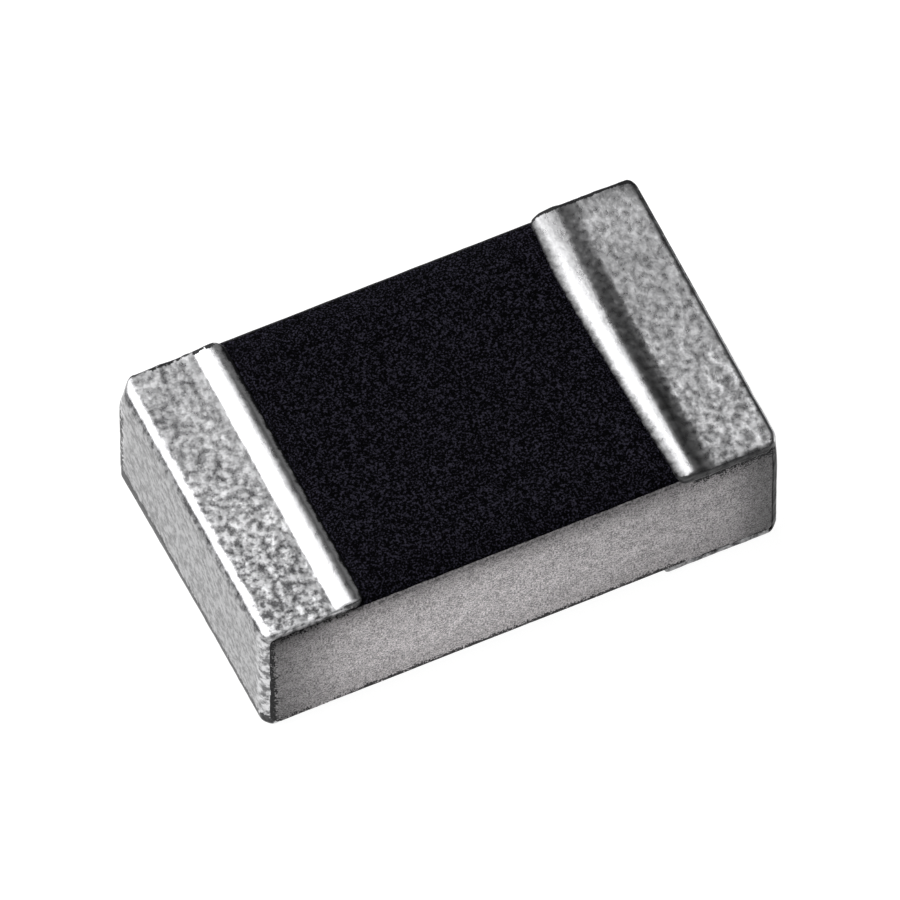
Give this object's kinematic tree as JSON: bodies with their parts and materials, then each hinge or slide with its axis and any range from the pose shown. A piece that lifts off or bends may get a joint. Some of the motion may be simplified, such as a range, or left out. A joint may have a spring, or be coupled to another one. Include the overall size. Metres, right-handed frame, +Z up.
{
  "type": "chip resistor",
  "caption": "Surface-mount thick-film chip resistor: a ceramic plate with a black-coated resistive film and tin-plated terminations that wrap round both ends for soldering.",
  "frame": {"origin": "under the middle of the chip, in the plane of the two solder lands", "axes": "+X along the length of the chip, +Y across it, +Z up out of the black-coated face"},
  "size_m": [0.002, 0.0012, 0.0006],
  "materials": {
    "ceramic": "fired alumina, matte, with snapped long sides",
    "black_coat": "printed and cured, matte with a fine grain",
    "tin": "plated matte tin with coarse grain",
    "nickel": "plated nickel, satin",
    "edge_metal": "thin conductive layer, dull",
    "silver_print": "printed and fired silver, dull",
    "resistor_print": "printed and fired resistor paste, dull",
    "glass_print": "printed and fired glass, glossy"
  },
  "bodies": {
    "root": {"ceramic_plate": "ceramic", "top_electrode_left": "silver_print", "top_electrode_right": "silver_print", "back_electrode_left": "silver_print", "back_electrode_right": "silver_print", "resistive_film": "resistor_print", "glass_coat": "glass_print", "black_overcoat": "black_coat", "edge_electrode_left": "edge_metal", "edge_electrode_right": "edge_metal", "nickel_barrier_left": "nickel", "nickel_barrier_right": "nickel", "tin_plating_left": "tin", "tin_plating_right": "tin"}
  },
  "joints": []
}
